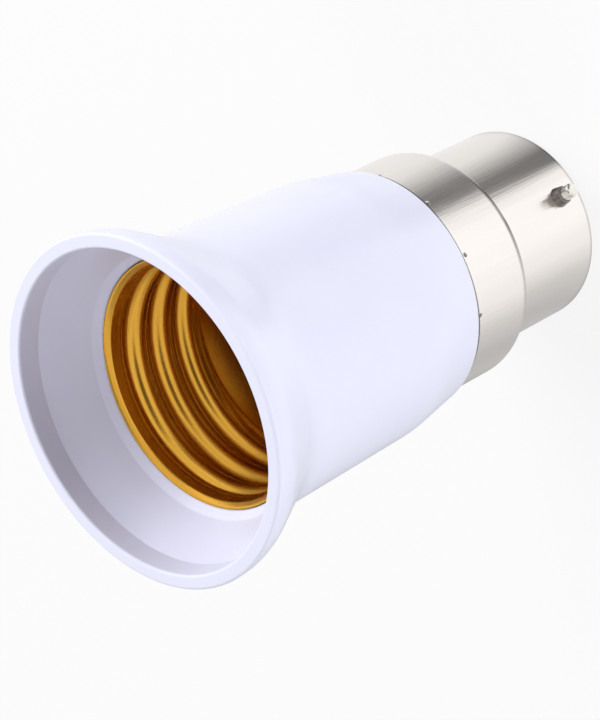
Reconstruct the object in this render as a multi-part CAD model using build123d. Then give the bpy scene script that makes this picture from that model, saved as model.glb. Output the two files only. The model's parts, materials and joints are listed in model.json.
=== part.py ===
from build123d import *
import os
from math import cos, pi, radians, sin, sqrt

# Lamp socket adapter: a two-pin bayonet cap carries a bell-mouthed white housing, and the housing
# holds a screw lamp socket. The origin is the centre of the cap's end, and +Z runs along the axis
# to the mouth. The bayonet pins lie on X. All sizes are in millimetres and all angles in degrees.

# Bayonet cap: one cup drawn from plated sheet, with a wide skirt above a narrow barrel
CAP_BARREL_DIAMETER = 22.0
CAP_BARREL_LENGTH = 14.1
CAP_SHOULDER_WIDTH = 2.0
CAP_SKIRT_LENGTH = 9.5
CAP_SHEET = 0.35
CAP_FLANGE_WIDTH = 1.5
CAP_END_RADIUS = 0.9
CAP_NECK_RADIUS = 0.5
CAP_SHOULDER_RADIUS = 1.4

# Stakes: the ring of punch marks that locks the skirt to the housing's spigot
STAKE_COUNT = 12
STAKE_TURN = -4.4
STAKE_EDGE_DISTANCE = 0.85
STAKE_PUNCH_RADIUS = 0.42
STAKE_DEPTH = 0.28
STAKE_WALL = 0.3
STAKE_CLEARANCE = 0.03

# Bayonet pins: stepped pins riveted through the barrel
PIN_HEIGHT = 3.75
PIN_TIP_DIAMETER = 1.6
PIN_TIP_LENGTH = 1.5
PIN_TIP_ROUND = 0.5
PIN_COLLAR_DIAMETER = 2.3
PIN_COLLAR_HEIGHT = 1.0
PIN_SHANK_DIAMETER = 1.3
PIN_HEAD_DIAMETER = 2.8
PIN_HEAD_HEIGHT = 0.5

# Housing: one white moulding
SEAM_LIP = 0.55
SEAM_EDGE_ROUND = 0.35
SHOULDER_HEIGHT = 7.0
SHOULDER_BLEND = 18.0
BODY_WALL = 1.53
BODY_DRAFT = 0.45
BELL_DEPTH = 8.3
RIM_WALL = 1.6
RIM_DRAFT = 0.1
RIM_EDGE_ROUND = 0.3
MOUTH_BAND_DEPTH = 2.53
MOUTH_BAND_DRAFT = 0.13
MOUTH_BAND_ROUND = 0.4
FLARE_REACH = 2.57
FLARE_WALL = 1.25
FLARE_FOOT_BLEND = 8.0
FLARE_RIM_BLEND = 6.5
LEDGE_WIDTH = 0.85
LEDGE_HEIGHT = 0.68
LEDGE_ROUND = 0.3
FLOOR_HEIGHT = 5.1
FLOOR_THICKNESS = 2.5
SPIGOT_WALL = 1.4
SPIGOT_END_GAP = 1.25
SPIGOT_CLEARANCE = 0.05

# Screw shell: thin gold sheet with the rolled lamp thread
SHELL_HEIGHT = 22.86
SHELL_SHEET = 0.25
SHELL_CREST_DIAMETER = 24.4
THREAD_DEPTH = 1.08
SHELL_GROOVE_DIAMETER = SHELL_CREST_DIAMETER + 2 * THREAD_DEPTH
SHELL_LIP_LENGTH = 0.9
SHELL_LIP_RECESS = 0.34
SHELL_BORE_CLEARANCE = 0.07
SHELL_FLANGE_MARGIN = 0.15
SHELL_FOOT_CHAMFER = 0.8
THREAD_PITCH = 3.629
THREAD_LENGTH = 11.9
THREAD_LIP_FADE = 1.4
THREAD_FOOT_FADE = 2.0
THREAD_CREST_DROP = 3.66
THREAD_CREST_ANGLE = 148.6
THREAD_STEPS_PER_TURN = 6

# Centre contact: a leaf spring bent into a hairpin, riveted to the floor
LEAF_SHEET = 0.4
LEAF_WIDTH = 5.5
LEAF_BEND_OFFSET = 5.2
LEAF_BEND_RADIUS = 1.6
LEAF_BASE_OVERHANG = 2.8
LEAF_RISE_ANGLE = 10.0
LEAF_ARM_LENGTH = 5.0
LEAF_CROWN_RADIUS = 5.0
LEAF_CROWN_ANGLE = 45.0
LEAF_CORNER_ROUND = 1.6

# Rivets: semi-tubular, with a rounded head inside the socket and a rolled tail under the floor
RIVET_HEAD_HEIGHT = 0.7
RIVET_TAIL_HEIGHT = 0.45
RIVET_ROUNDED_SHARE = 0.7
RIVET_BORE_DEPTH = 1.6
RIVET_WALL = 0.35
RIVET_HOLE_CLEARANCE = 0.04
CENTRE_RIVET_SHANK = 2.4
CENTRE_RIVET_HEAD = 3.8
CENTRE_RIVET_TAIL = 3.6
SHELL_RIVET_SHANK = 1.6
SHELL_RIVET_HEAD = 2.5
SHELL_RIVET_TAIL = 2.3

# Solder tags: washers under the floor with a tail bent down for the wire
TAG_SHEET = 0.4
TAG_RING_MARGIN = 0.3
TAG_CLEARANCE = 0.1
TAG_TAIL_WIDTH = 2.2
TAG_TAIL_DROP = 3.4
TAG_BEND_RADIUS = 0.3

# End contacts: eyelets in pockets of the disc that closes the cap, with solder beads outside
DISC_CLEARANCE = 0.08
DISC_PIN_GAP = 0.1
CONTACT_SPACING = 10.6
POCKET_MARGIN = 0.25
EYELET_HEAD_DIAMETER = 5.0
EYELET_HEAD_THICKNESS = 0.35
EYELET_TUBE_DIAMETER = 2.2
EYELET_WALL = 0.4
EYELET_FLARE_DIAMETER = 3.2
EYELET_FLARE_THICKNESS = 0.3
EYELET_HOLE_CLEARANCE = 0.04
BEAD_DIAMETER = 4.2
BEAD_HEIGHT = 0.5
BEAD_RECESS = 0.1
BEAD_PLUG_DEPTH = 0.7

# Wires: two short leads from the tags to the end contacts
WIRE_CONDUCTOR_DIAMETER = 0.8
WIRE_SLEEVE_DIAMETER = 1.7
WIRE_SLEEVE_CLEARANCE = 0.03
WIRE_STRIPPED_LENGTH = 1.0
WIRE_END_INSET = 0.25
WIRE_BEND_RADIUS = 12.0
WIRE_SWAY = 0.65
WIRE_STRAIGHT_SHARE = 0.25
WIRE_TAG_GAP = 0.03
TAG_SOLDER_RADIUS = 1.0

# Cap and housing sizes that follow from the values above
barrel_radius = CAP_BARREL_DIAMETER / 2
skirt_radius = barrel_radius + CAP_SHOULDER_WIDTH
barrel_bore = barrel_radius - CAP_SHEET
skirt_bore = skirt_radius - CAP_SHEET
cap_opening_radius = barrel_radius - CAP_FLANGE_WIDTH
seam_z = CAP_BARREL_LENGTH + CAP_SKIRT_LENGTH
floor_top_z = seam_z + FLOOR_HEIGHT
floor_bottom_z = floor_top_z - FLOOR_THICKNESS
spigot_radius = skirt_bore - SPIGOT_CLEARANCE
spigot_bore = spigot_radius - SPIGOT_WALL
spigot_end_z = CAP_BARREL_LENGTH + CAP_SHEET + SPIGOT_END_GAP

# Socket sizes that follow
crest_radius = SHELL_CREST_DIAMETER / 2
groove_radius = SHELL_GROOVE_DIAMETER / 2
lip_z = floor_top_z + SHELL_HEIGHT
thread_top_z = lip_z - SHELL_LIP_LENGTH
thread_foot_z = thread_top_z - THREAD_LENGTH
upper_bore = groove_radius + SHELL_SHEET + SHELL_BORE_CLEARANCE
lower_bore = crest_radius + SHELL_SHEET + SHELL_BORE_CLEARANCE
ledge_z = lip_z + SHELL_LIP_RECESS
mouth_z = ledge_z + BELL_DEPTH

# Wiring sizes that follow
tag_bottom_z = floor_bottom_z - TAG_SHEET
shell_tag_radius = SHELL_RIVET_TAIL / 2 + TAG_RING_MARGIN
tag_reach_y = spigot_bore - shell_tag_radius - TAG_CLEARANCE
head_reach_y = crest_radius - SHELL_FOOT_CHAMFER - SHELL_RIVET_HEAD / 2 - SHELL_FLANGE_MARGIN
shell_rivet_y = min(tag_reach_y, head_reach_y)
shell_flange_radius = shell_rivet_y - SHELL_RIVET_HEAD / 2 - SHELL_FLANGE_MARGIN
contact_y = CONTACT_SPACING / 2
wire_stand_off = WIRE_CONDUCTOR_DIAMETER / 2 + WIRE_TAG_GAP
live_tag_face_y = -contact_y + WIRE_SWAY + wire_stand_off
neutral_tag_face_y = contact_y + WIRE_SWAY + wire_stand_off
disc_top_z = PIN_HEIGHT - PIN_HEAD_DIAMETER / 2 - DISC_PIN_GAP
eyelet_face_z = BEAD_RECESS + BEAD_HEIGHT
pocket_floor_z = eyelet_face_z + EYELET_HEAD_THICKNESS
flare_top_z = disc_top_z + EYELET_FLARE_THICKNESS
eyelet_bore = EYELET_TUBE_DIAMETER / 2 - EYELET_WALL


def turned(points, rounds):
    """A solid of revolution about Z from (radius, height) corners, each with its own round."""
    outline = FilletPolyline(*[(r, 0, z) for r, z in points], radius=rounds, close=True)
    return revolve(make_face(outline), Axis.Z)


def upright(radius, low, high, y=0):
    """An upright cylinder between two heights, on the axis or beside it."""
    return Pos(0, y, (low + high) / 2) * Cylinder(radius, high - low)


def along_x(radius, start, end, z):
    """A cylinder along X between two distances from the axis."""
    return Pos((start + end) / 2, 0, z) * Rot(0, 90, 0) * Cylinder(radius, abs(end - start))


def stake_spheres(radius):
    """Balls of one radius at the centres that the staking punches press to."""
    centre_radius = skirt_radius - STAKE_DEPTH + STAKE_PUNCH_RADIUS
    turns = PolarLocations(centre_radius, STAKE_COUNT, start_angle=STAKE_TURN)
    lift = Pos(0, 0, seam_z - STAKE_EDGE_DISTANCE)
    return [lift * turn * Sphere(radius) for turn in turns]


def bayonet_cap():
    """Drawn sheet cup with in-turned end, stepped shoulder, stake dimples and two pin holes."""
    shoulder_z = CAP_BARREL_LENGTH
    corners = [
        (cap_opening_radius, 0, 0),
        (barrel_radius, 0, CAP_END_RADIUS),
        (barrel_radius, shoulder_z, CAP_NECK_RADIUS),
        (skirt_radius, shoulder_z, CAP_SHOULDER_RADIUS),
        (skirt_radius, seam_z, 0),
        (skirt_bore, seam_z, 0),
        (skirt_bore, shoulder_z + CAP_SHEET, CAP_SHOULDER_RADIUS - CAP_SHEET),
        (barrel_bore, shoulder_z + CAP_SHEET, CAP_NECK_RADIUS + CAP_SHEET),
        (barrel_bore, CAP_SHEET, CAP_END_RADIUS - CAP_SHEET),
        (cap_opening_radius, CAP_SHEET, 0),
    ]
    cup = turned([(r, z) for r, z, _ in corners], [round_ for _, _, round_ in corners])
    core = upright((skirt_radius + skirt_bore) / 2, 0, seam_z)
    for bump in stake_spheres(STAKE_PUNCH_RADIUS + STAKE_WALL):
        cup += bump & core
    for pit in stake_spheres(STAKE_PUNCH_RADIUS):
        cup -= pit
    return cup - along_x(PIN_SHANK_DIAMETER / 2, -skirt_radius, skirt_radius, PIN_HEIGHT)


def bayonet_pin(side):
    """Stepped pin with its collar seated on the barrel and its rivet head inside the wall."""
    collar_x = barrel_radius + PIN_COLLAR_HEIGHT
    tip_x = collar_x + PIN_TIP_LENGTH
    outside = upright(barrel_radius, 0, 2 * PIN_HEIGHT)
    inside = upright(barrel_bore, 0, 2 * PIN_HEIGHT)
    tip = along_x(PIN_TIP_DIAMETER / 2, barrel_radius, tip_x, PIN_HEIGHT)
    tip = fillet(tip.edges().sort_by(Axis.X)[-1], PIN_TIP_ROUND)
    collar = along_x(PIN_COLLAR_DIAMETER / 2, barrel_bore, collar_x, PIN_HEIGHT) - outside
    shank = along_x(PIN_SHANK_DIAMETER / 2, barrel_bore - PIN_HEAD_HEIGHT, collar_x, PIN_HEIGHT)
    head = along_x(PIN_HEAD_DIAMETER / 2, barrel_bore - PIN_HEAD_HEIGHT, barrel_radius, PIN_HEIGHT)
    pin = tip + collar + shank + (head & inside)
    return Rot(0, 0, 0 if side > 0 else 180) * pin


def housing():
    """White moulding: spigot, tapered shoulder, drafted body, flared mouth, bore and floor."""
    cone_foot = (upper_bore + LEDGE_WIDTH, ledge_z + LEDGE_HEIGHT)
    cone_top = (cone_foot[0] + FLARE_REACH, mouth_z - MOUTH_BAND_DEPTH)
    mouth_radius = cone_top[0] + MOUTH_BAND_DRAFT
    rim_radius = mouth_radius + RIM_WALL
    body_radius = upper_bore + BODY_WALL
    cone_run = cone_top[0] - cone_foot[0]
    cone_rise = cone_top[1] - cone_foot[1]
    cone_length = sqrt(cone_run**2 + cone_rise**2)

    def flare_point(radius):
        """The point of that radius on the flare's outer side, one wall away from the cone."""
        inner_radius = radius - FLARE_WALL * cone_length / cone_rise
        return (radius, cone_foot[1] + (inner_radius - cone_foot[0]) * cone_rise / cone_run)

    corners = [
        ((spigot_radius, spigot_end_z), 0),
        ((spigot_radius, seam_z), 0),
        ((skirt_radius + SEAM_LIP, seam_z), SEAM_EDGE_ROUND),
        ((body_radius - BODY_DRAFT, seam_z + SHOULDER_HEIGHT), SHOULDER_BLEND),
        (flare_point(body_radius), FLARE_FOOT_BLEND),
        (flare_point(rim_radius - RIM_DRAFT), FLARE_RIM_BLEND),
        ((rim_radius, mouth_z), RIM_EDGE_ROUND),
        ((mouth_radius, mouth_z), RIM_EDGE_ROUND),
        (cone_top, MOUTH_BAND_ROUND),
        (cone_foot, LEDGE_ROUND),
        ((upper_bore, ledge_z), 0),
        ((upper_bore, thread_foot_z + THREAD_DEPTH), 0),
        ((lower_bore, thread_foot_z), 0),
        ((lower_bore, floor_top_z), 0),
        ((0, floor_top_z), 0),
        ((0, floor_bottom_z), 0),
        ((spigot_bore, floor_bottom_z), 0),
        ((spigot_bore, spigot_end_z), 0),
    ]
    moulding = turned([point for point, _ in corners], [round_ for _, round_ in corners])
    for recess in stake_spheres(STAKE_PUNCH_RADIUS + STAKE_WALL + STAKE_CLEARANCE):
        moulding -= recess
    centre_hole = CENTRE_RIVET_SHANK / 2 + RIVET_HOLE_CLEARANCE
    shell_hole = SHELL_RIVET_SHANK / 2 + RIVET_HOLE_CLEARANCE
    moulding -= upright(centre_hole, floor_bottom_z, floor_top_z)
    for y in (shell_rivet_y, -shell_rivet_y):
        moulding -= upright(shell_hole, floor_bottom_z, floor_top_z, y=y)
    return moulding


def ease(share):
    """A smooth step from 0 to 1."""
    held = min(1.0, max(0.0, share))
    return held * held * (3 - 2 * held)


def thread_circle(z, sheet):
    """One level section of the thread: a round whose centre circles the axis once per pitch."""
    crest = ease((thread_top_z - z) / THREAD_LIP_FADE)
    groove = ease((z - thread_foot_z) / THREAD_FOOT_FADE)
    swing = crest * groove * THREAD_DEPTH / 2
    radius = crest_radius + (1 - crest) * THREAD_DEPTH + swing
    crest_z = lip_z - THREAD_CREST_DROP
    groove_turn = radians(THREAD_CREST_ANGLE + 180) + 2 * pi * (z - crest_z) / THREAD_PITCH
    centre = Pos(swing * cos(groove_turn), swing * sin(groove_turn), z)
    return Wire(centre * Edge.make_circle(radius + sheet))


def screw_shell():
    """Rolled sheet: plain lip, right-hand thread that fades at both ends, plain foot, flange."""
    steps = round(THREAD_LENGTH / THREAD_PITCH * THREAD_STEPS_PER_TURN)
    heights = [thread_top_z - THREAD_LENGTH * step / steps for step in range(steps + 1)]
    heights = [lip_z, *heights]
    outer = [thread_circle(z, SHELL_SHEET) for z in heights]
    inner = [thread_circle(z, 0) for z in heights]
    walls = Shell.make_loft(outer, ruled=True).faces() + Shell.make_loft(inner, ruled=True).faces()
    ends = [Face(outer[end], [inner[end]]) for end in (0, -1)]
    sleeve = Solid(Shell([*walls, *ends]))
    foot_radius = crest_radius + SHELL_SHEET
    bend = SHELL_FOOT_CHAMFER
    corners = [
        (foot_radius, thread_foot_z),
        (foot_radius, floor_top_z + bend),
        (foot_radius - bend, floor_top_z),
        (shell_flange_radius, floor_top_z),
        (shell_flange_radius, floor_top_z + SHELL_SHEET),
        (crest_radius - bend, floor_top_z + SHELL_SHEET),
        (crest_radius, floor_top_z + SHELL_SHEET + bend),
        (crest_radius, thread_foot_z),
    ]
    foot = turned(corners, [0] * len(corners))
    hole = SHELL_RIVET_SHANK / 2 + RIVET_HOLE_CLEARANCE
    for y in (shell_rivet_y, -shell_rivet_y):
        foot -= upright(hole, floor_top_z, floor_top_z + SHELL_SHEET, y=y)
    return sleeve + foot


def centre_contact():
    """Leaf spring: flat base, hairpin bend, rising arm and a rounded crown over the centre."""
    base_z = floor_top_z + LEAF_SHEET / 2
    leaf_plane = Plane((0, 0, base_z), x_dir=(1, 0, 0), z_dir=(0, -1, 0))
    base = Line((LEAF_BASE_OVERHANG, 0), (-LEAF_BEND_OFFSET, 0))
    bend = JernArc(base @ 1, base % 1, LEAF_BEND_RADIUS, -(180 - LEAF_RISE_ANGLE))
    arm = Line(bend @ 1, bend @ 1 + (bend % 1) * LEAF_ARM_LENGTH)
    crown = JernArc(arm @ 1, arm % 1, LEAF_CROWN_RADIUS, -LEAF_CROWN_ANGLE)
    strip = trace([base, bend, arm, crown], LEAF_SHEET)
    leaf = extrude(leaf_plane * strip, LEAF_WIDTH / 2, both=True)
    free_ends = leaf.faces().filter_by(GeomType.PLANE).sort_by(Axis.X)[-2:]
    corners = free_ends.edges().filter_by(Axis.Y, reverse=True)
    leaf = fillet(corners, LEAF_CORNER_ROUND)
    hole = CENTRE_RIVET_SHANK / 2 + RIVET_HOLE_CLEARANCE
    return leaf - upright(hole, floor_top_z, floor_top_z + LEAF_SHEET)


def rivet(y, seat_top, seat_bottom, shank, head, tail):
    """Semi-tubular rivet: rounded head on the upper seat, rolled tail under the lower one."""
    top = seat_top + RIVET_HEAD_HEIGHT
    bottom = seat_bottom - RIVET_TAIL_HEIGHT
    bore = shank / 2 - RIVET_WALL
    corners = [
        (0, top, 0),
        (head / 2, top, RIVET_ROUNDED_SHARE * RIVET_HEAD_HEIGHT),
        (head / 2, seat_top, 0),
        (shank / 2, seat_top, 0),
        (shank / 2, seat_bottom, 0),
        (tail / 2, seat_bottom, 0),
        (tail / 2, bottom, RIVET_ROUNDED_SHARE * RIVET_TAIL_HEIGHT),
        (bore, bottom, 0),
        (bore, bottom + RIVET_BORE_DEPTH, 0),
        (0, bottom + RIVET_BORE_DEPTH, 0),
    ]
    body = turned([(r, z) for r, z, _ in corners], [round_ for _, _, round_ in corners])
    return Pos(0, y, 0) * body


def tag(y, face_y, ring_radius, shank):
    """Solder tag: a washer on the floor's underside and a tail bent down, towards -Y."""
    reach = y - face_y
    bottom_z = tag_bottom_z - TAG_TAIL_DROP
    ring = upright(ring_radius, tag_bottom_z, floor_bottom_z)
    side = Plane((-TAG_TAIL_WIDTH / 2, 0, 0), x_dir=(0, 1, 0), z_dir=(1, 0, 0))
    outline = FilletPolyline(
        (0, floor_bottom_z),
        (-reach, floor_bottom_z),
        (-reach, bottom_z),
        (TAG_SHEET - reach, bottom_z),
        (TAG_SHEET - reach, tag_bottom_z),
        (0, tag_bottom_z),
        radius=[0, TAG_SHEET + TAG_BEND_RADIUS, 0, 0, TAG_BEND_RADIUS, 0],
        close=True,
    )
    strip = extrude(side * make_face(outline), TAG_TAIL_WIDTH)
    hole = upright(shank / 2 + RIVET_HOLE_CLEARANCE, tag_bottom_z, floor_bottom_z)
    return Pos(0, y, 0) * (ring + strip - hole)


def wire_path(tag_face_y, end_y, low, high):
    """The lead's centre line: down along the tag, across to the eyelet and into it."""
    tag_y = tag_face_y - wire_stand_off
    tag_end_z = tag_bottom_z - TAG_TAIL_DROP
    straight = WIRE_STRAIGHT_SHARE * (tag_end_z - flare_top_z)
    route = [
        (0, tag_y, high),
        (0, tag_y, tag_end_z - straight),
        (0, end_y, flare_top_z + straight),
        (0, end_y, low),
    ]
    return FilletPolyline(*route, radius=WIRE_BEND_RADIUS)


def rod_along(path, radius):
    """A round rod swept down a path."""
    return sweep(Plane(path @ 0, z_dir=path % 0) * Circle(radius), path)


def wire(tag_face_y, end_y):
    """A lead's conductor, from tag to solder bead, and its sleeve between the stripped ends."""
    conductor_radius = WIRE_CONDUCTOR_DIAMETER / 2
    bare_top = tag_bottom_z - TAG_SHEET
    bare_bottom = BEAD_RECESS + WIRE_END_INSET
    conductor = rod_along(wire_path(tag_face_y, end_y, bare_bottom, bare_top), conductor_radius)
    sleeve_top = tag_bottom_z - TAG_TAIL_DROP - WIRE_STRIPPED_LENGTH
    sleeve_bottom = flare_top_z + WIRE_STRIPPED_LENGTH
    path = wire_path(tag_face_y, end_y, sleeve_bottom, sleeve_top)
    sleeve = rod_along(path, WIRE_SLEEVE_DIAMETER / 2)
    return conductor, sleeve - rod_along(path, conductor_radius + WIRE_SLEEVE_CLEARANCE)


def tag_solder(tag_face_y, conductor):
    """A round blob of solder on the tag's face, around the bare wire."""
    middle_z = tag_bottom_z - TAG_TAIL_DROP / 2
    blob = Pos(0, tag_face_y - wire_stand_off, middle_z) * Sphere(TAG_SOLDER_RADIUS)
    beyond = Pos(0, tag_face_y + TAG_SOLDER_RADIUS, middle_z) * Box(*[2 * TAG_SOLDER_RADIUS] * 3)
    return blob - beyond - conductor


def end_insulator():
    """Moulded disc on the cap's in-turned end, with a pocket and a hole for each eyelet."""
    disc = upright(barrel_bore - DISC_CLEARANCE, CAP_SHEET, disc_top_z)
    disc = chamfer(disc.edges().sort_by(Axis.Z)[0], CAP_END_RADIUS - CAP_SHEET + DISC_CLEARANCE)
    pocket = EYELET_HEAD_DIAMETER / 2 + POCKET_MARGIN
    hole = EYELET_TUBE_DIAMETER / 2 + EYELET_HOLE_CLEARANCE
    for y in (contact_y, -contact_y):
        disc -= upright(pocket, CAP_SHEET, pocket_floor_z, y=y)
        disc -= upright(hole, CAP_SHEET, disc_top_z, y=y)
    return disc


def end_contact(y):
    """Eyelet: a flat head in the pocket, a tube through the disc and a flare on its far side."""
    tube = EYELET_TUBE_DIAMETER / 2
    corners = [
        (eyelet_bore, eyelet_face_z),
        (EYELET_HEAD_DIAMETER / 2, eyelet_face_z),
        (EYELET_HEAD_DIAMETER / 2, pocket_floor_z),
        (tube, pocket_floor_z),
        (tube, disc_top_z),
        (EYELET_FLARE_DIAMETER / 2, disc_top_z),
        (EYELET_FLARE_DIAMETER / 2, flare_top_z),
        (eyelet_bore, flare_top_z),
    ]
    return Pos(0, y, 0) * turned(corners, [0] * len(corners))


def end_solder(y, conductor):
    """Solder bead: a shallow dome on the eyelet's head with a plug in its bore."""
    half = BEAD_DIAMETER / 2
    dome_radius = (half**2 + BEAD_HEIGHT**2) / (2 * BEAD_HEIGHT)
    ball = Pos(0, y, BEAD_RECESS + dome_radius) * Sphere(dome_radius)
    dome = ball & upright(half, BEAD_RECESS, eyelet_face_z, y=y)
    plug = upright(eyelet_bore, eyelet_face_z, eyelet_face_z + BEAD_PLUG_DEPTH, y=y)
    return dome + plug - conductor


def build_pieces():
    """Every piece of the adapter by name."""
    centre_sizes = (CENTRE_RIVET_SHANK, CENTRE_RIVET_HEAD, CENTRE_RIVET_TAIL)
    shell_sizes = (SHELL_RIVET_SHANK, SHELL_RIVET_HEAD, SHELL_RIVET_TAIL)
    centre_ring = CENTRE_RIVET_TAIL / 2 + TAG_RING_MARGIN
    flange_top_z = floor_top_z + SHELL_SHEET
    pieces = {
        "housing": housing(),
        "screw_shell": screw_shell(),
        "centre_contact": centre_contact(),
        "centre_rivet": rivet(0, floor_top_z + LEAF_SHEET, tag_bottom_z, *centre_sizes),
        "shell_rivet_a": rivet(shell_rivet_y, flange_top_z, tag_bottom_z, *shell_sizes),
        "shell_rivet_b": rivet(-shell_rivet_y, flange_top_z, floor_bottom_z, *shell_sizes),
        "live_tag": tag(0, live_tag_face_y, centre_ring, CENTRE_RIVET_SHANK),
        "neutral_tag": tag(shell_rivet_y, neutral_tag_face_y, shell_tag_radius, SHELL_RIVET_SHANK),
        "bayonet_cap": bayonet_cap(),
        "bayonet_pin_front": bayonet_pin(1),
        "bayonet_pin_back": bayonet_pin(-1),
        "end_insulator": end_insulator(),
    }
    for pole, face_y, end_y in (
        ("live", live_tag_face_y, -contact_y),
        ("neutral", neutral_tag_face_y, contact_y),
    ):
        conductor, sleeve = wire(face_y, end_y)
        pieces[pole + "_conductor"] = conductor
        pieces[pole + "_insulation"] = sleeve
        pieces[pole + "_tag_solder"] = tag_solder(face_y, conductor)
        pieces[pole + "_end_contact"] = end_contact(end_y)
        pieces[pole + "_end_solder"] = end_solder(end_y, conductor)
    return pieces


os.makedirs("parts", exist_ok=True)
for name, piece in build_pieces().items():
    export_step(piece, f"parts/{name}.step")
    print(f"{name}: {len(piece.solids())} solid, {piece.volume:.2f} mm3")
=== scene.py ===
import json
from math import pi, radians

import bmesh
import bpy
import numpy as np
from mathutils import Matrix, Vector


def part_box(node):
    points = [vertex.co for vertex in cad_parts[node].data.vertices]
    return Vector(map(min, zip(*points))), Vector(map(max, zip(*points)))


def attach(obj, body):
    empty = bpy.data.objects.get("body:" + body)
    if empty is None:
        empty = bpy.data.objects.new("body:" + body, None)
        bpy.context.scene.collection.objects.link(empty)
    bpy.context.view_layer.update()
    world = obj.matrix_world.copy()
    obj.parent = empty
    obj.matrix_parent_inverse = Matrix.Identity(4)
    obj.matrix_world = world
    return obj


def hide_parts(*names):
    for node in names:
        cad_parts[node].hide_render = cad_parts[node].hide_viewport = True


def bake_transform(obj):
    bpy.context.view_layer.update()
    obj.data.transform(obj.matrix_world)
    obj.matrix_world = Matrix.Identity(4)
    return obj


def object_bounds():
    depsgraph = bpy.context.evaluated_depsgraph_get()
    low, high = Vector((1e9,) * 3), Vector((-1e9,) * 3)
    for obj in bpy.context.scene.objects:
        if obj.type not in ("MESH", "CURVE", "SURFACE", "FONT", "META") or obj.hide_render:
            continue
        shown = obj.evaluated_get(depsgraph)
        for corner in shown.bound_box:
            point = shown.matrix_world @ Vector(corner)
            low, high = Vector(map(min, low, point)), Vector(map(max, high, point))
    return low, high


# Lamp socket adapter: a plated bayonet cap, a white bell-mouthed housing and a gold screw shell.
# Sizes are in millimetres and angles in degrees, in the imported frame: the cap's end is at height 0,
# the axis is Z, the bayonet pins lie on X, and the meshes are written in metres.
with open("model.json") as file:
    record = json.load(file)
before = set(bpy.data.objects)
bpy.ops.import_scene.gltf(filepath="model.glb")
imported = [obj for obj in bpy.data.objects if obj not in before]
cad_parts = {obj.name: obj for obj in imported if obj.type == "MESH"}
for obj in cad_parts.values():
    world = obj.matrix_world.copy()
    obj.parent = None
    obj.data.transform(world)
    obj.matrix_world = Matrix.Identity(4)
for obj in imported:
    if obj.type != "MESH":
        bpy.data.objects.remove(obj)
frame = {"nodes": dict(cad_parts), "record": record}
cad_low, cad_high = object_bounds()


# Housing
# One glossy white injection moulding: a spigot that the cap is pushed on to, a slightly swelling
# body with the socket's bore and floor, and a bell mouth with a flat rim.
MM = 0.001
SPIGOT_RADIUS = 12.6
SPIGOT_BORE = 11.2
FLOOR_TOP_Z = 28.7
FLOOR_BOTTOM_Z = 26.2
BODY_FOOT_RADIUS = 13.55
BODY_RADIUS = 15.13
BODY_SWELL_STEP = 0.45
BODY_SWELL_HEIGHT = 7.0
SOCKET_BORE = 13.6
SOCKET_FOOT_BORE = 12.52
SOCKET_STEP_Z = 38.76
LEDGE_Z = 51.9
LEDGE_EDGE_Z = 51.65
CONE_FOOT = (14.45, 52.58)
CONE_TOP = (17.02, 57.67)
MOUTH_RADIUS = 17.15
RIM_RADIUS = 18.75
FLARE_WALL = 1.25
FLARE_TOP_RADIUS = 18.65
SPIGOT_END_ROUND = 0.2
SPIGOT_FLOOR_ROUND = 0.4
BODY_FOOT_ROUND = 0.35
BODY_SWELL_ROUND = 18
FLARE_FOOT_ROUND = 8
FLARE_TOP_ROUND = 6.5
RIM_ROUND = 0.3
CONE_TOP_ROUND = 0.4
CONE_FOOT_ROUND = 0.8
LEDGE_EDGE_ROUND = 0.12
HOUSING_COLUMNS = 288
MERGE_DISTANCE = 0.0001
SHARP_ANGLE = 40
NOISE_LOW, NOISE_HIGH = 0.3, 0.7
PATCH_SCALE = 130
GRAIN_STRENGTH = 0.3
WHITE_PLASTIC = (0.80, 0.81, 0.965, 1)
WHITE_PLASTIC_CLOUDED = (0.785, 0.795, 0.955, 1)


def box_mm(node):
    """A node's lowest and highest corners, in millimetres."""
    low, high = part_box(node)
    return np.array(low) / MM, np.array(high) / MM


def rounded_outline(corners, support=0.06, facets=9):
    """A closed outline through (radius, height, round) corners.

    At a corner with a round, an arc touches both sides at the round times the cotangent of half the
    corner's angle. A support point just beyond each end of an arc keeps the sides' shading flat.
    """
    spots = np.array([corner[:2] for corner in corners], float)
    rounds = [corner[2] for corner in corners]
    parts = []
    for before, spot, after, size in zip(np.roll(spots, 1, 0), spots, np.roll(spots, -1, 0), rounds):
        if size == 0:
            parts.append(spot[None])
            continue
        back = (before - spot) / np.linalg.norm(before - spot)
        ahead = (after - spot) / np.linalg.norm(after - spot)
        half = np.arccos(np.clip(back @ ahead, -1, 1)) / 2
        reach = size / np.tan(half)
        middle = (back + ahead) / np.linalg.norm(back + ahead)
        across = (back - ahead) / np.linalg.norm(back - ahead)
        centre = spot + middle * size / np.sin(half)
        sweep = np.linspace(pi / 2 - half, half - pi / 2, facets)[:, None]
        parts.append((spot + back * (reach + support))[None])
        parts.append(centre - middle * size * np.cos(sweep) + across * size * np.sin(sweep))
        parts.append((spot + ahead * (reach + support))[None])
    return np.concatenate(parts)


def turned(outline, turns, y=0):
    """An outline carried round an upright axis: x = radius cos(turn), y = radius sin(turn)."""
    radius, height = outline[:, :1], outline[:, 1:]
    return np.stack([radius * np.cos(turns), y + radius * np.sin(turns), height + 0 * turns], -1)


def full_turn(columns):
    """Evenly spaced turns round a full circle."""
    return np.linspace(0, 2 * pi, columns, endpoint=False)


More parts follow.
